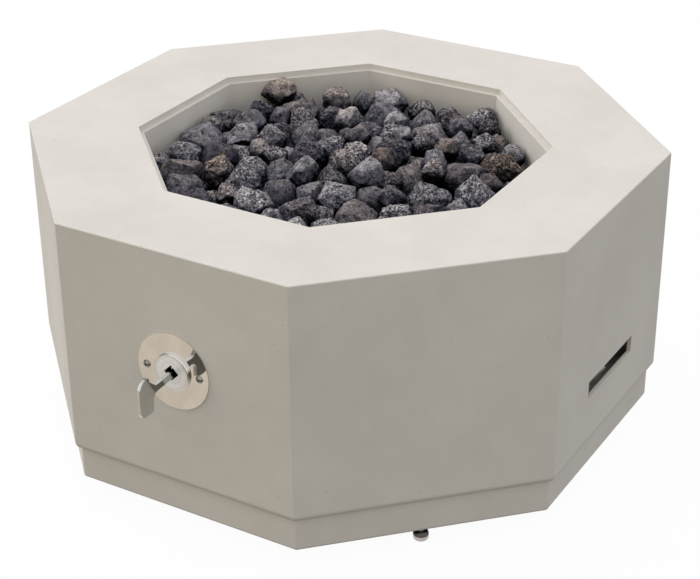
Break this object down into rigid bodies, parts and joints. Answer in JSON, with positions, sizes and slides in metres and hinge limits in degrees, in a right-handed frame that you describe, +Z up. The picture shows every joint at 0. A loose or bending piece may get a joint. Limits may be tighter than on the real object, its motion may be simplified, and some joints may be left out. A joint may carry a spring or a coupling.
{
  "type": "gas fire pit",
  "caption": "Octagonal cast-concrete gas fire bowl on a recessed plinth, with a key valve, side air slots and lava rock over a ring burner.",
  "frame": {"origin": "on the floor under the bowl's upright axis, at the middle of the circle of levelling feet", "axes": "+Z up, -Y out of the key valve's face, +X out of the right air slot"},
  "size_m": [0.6, 0.6535, 0.291],
  "materials": {
    "concrete": "matt cast concrete, warm light grey",
    "lava": "rough black vesicular lava rock",
    "chrome": "polished chrome",
    "plate_steel": "polished stainless sheet",
    "satin_chrome": "satin chrome",
    "stainless": "plain stainless",
    "line_steel": "corrugated stainless",
    "zinc_steel": "zinc plated",
    "brass": "machined brass",
    "black_brass": "blackened brass",
    "rubber": "black nitrile",
    "white_plastic": "white sealing plastic",
    "plug_plastic": "grey nylon"
  },
  "bodies": {
    "bowl": {"concrete_shell": "concrete", "foot_inserts": "brass", "burner_pan": "stainless", "burner_ring": "stainless", "burner_arms": "stainless", "burner_hub": "stainless", "hub_washer": "zinc_steel", "hub_nut": "zinc_steel", "hub_elbow": "brass", "orifice_jet": "brass", "inlet_elbow": "brass", "gas_line": "line_steel", "line_nuts": "brass", "valve_body": "brass", "ball_seats": "white_plastic", "outlet_fitting": "brass", "stem_gland": "black_brass", "wall_washer": "zinc_steel", "wall_nut": "zinc_steel", "valve_plate": "plate_steel", "valve_bezel": "satin_chrome", "plate_screws": "plate_steel", "wall_plugs": "plug_plastic", "lava_rock_base": "lava", "lava_rock_fill": "lava", "lava_rock_top": "lava"},
    "valve_key": {"valve_key": "chrome"},
    "valve_stem": {"valve_stem": "black_brass", "valve_ball": "chrome", "stem_seal": "rubber"},
    "foot_pad_front_right": {"foot_pad_front_right": "chrome"},
    "foot_stud_front_right": {"foot_stud_front_right": "zinc_steel"},
    "foot_pad_back_right": {"foot_pad_back_right": "chrome"},
    "foot_stud_back_right": {"foot_stud_back_right": "zinc_steel"},
    "foot_pad_back_left": {"foot_pad_back_left": "chrome"},
    "foot_stud_back_left": {"foot_stud_back_left": "zinc_steel"},
    "foot_pad_front_left": {"foot_pad_front_left": "chrome"},
    "foot_stud_front_left": {"foot_stud_front_left": "zinc_steel"}
  },
  "joints": [
    {"name": "valve_turn", "type": "hinge", "parent": "bowl", "child": "valve_stem", "pos_m": [0, -0.248, 0.1732], "axis": [0, 1, 0], "range_deg": [0, 90]},
    {"name": "key_pull", "type": "slide", "parent": "valve_stem", "child": "valve_key", "axis": [0, -1, 0], "range_m": [0, 0.045]},
    {"name": "foot_drop_front_right", "type": "slide", "parent": "bowl", "child": "foot_pad_front_right", "axis": [0, 0, -1], "range_m": [0, 0.012]},
    {"name": "foot_screw_front_right", "type": "hinge", "parent": "foot_pad_front_right", "child": "foot_stud_front_right", "pos_m": [0.20153, -0.20153, 0.02], "axis": [0, 0, -1], "range_deg": [0, 4320]},
    {"name": "foot_drop_back_right", "type": "slide", "parent": "bowl", "child": "foot_pad_back_right", "axis": [0, 0, -1], "range_m": [0, 0.012]},
    {"name": "foot_screw_back_right", "type": "hinge", "parent": "foot_pad_back_right", "child": "foot_stud_back_right", "pos_m": [0.20153, 0.20153, 0.02], "axis": [0, 0, -1], "range_deg": [0, 4320]},
    {"name": "foot_drop_back_left", "type": "slide", "parent": "bowl", "child": "foot_pad_back_left", "axis": [0, 0, -1], "range_m": [0, 0.012]},
    {"name": "foot_screw_back_left", "type": "hinge", "parent": "foot_pad_back_left", "child": "foot_stud_back_left", "pos_m": [-0.20153, 0.20153, 0.02], "axis": [0, 0, -1], "range_deg": [0, 4320]},
    {"name": "foot_drop_front_left", "type": "slide", "parent": "bowl", "child": "foot_pad_front_left", "axis": [0, 0, -1], "range_m": [0, 0.012]},
    {"name": "foot_screw_front_left", "type": "hinge", "parent": "foot_pad_front_left", "child": "foot_stud_front_left", "pos_m": [-0.20153, -0.20153, 0.02], "axis": [0, 0, -1], "range_deg": [0, 4320]}
  ],
  "couplings": [
    {"joint": "foot_screw_front_right", "follows": "foot_drop_front_right", "rad_per_m": 6283.2},
    {"joint": "foot_screw_back_right", "follows": "foot_drop_back_right", "rad_per_m": 6283.2},
    {"joint": "foot_screw_back_left", "follows": "foot_drop_back_left", "rad_per_m": 6283.2},
    {"joint": "foot_screw_front_left", "follows": "foot_drop_front_left", "rad_per_m": 6283.2}
  ]
}
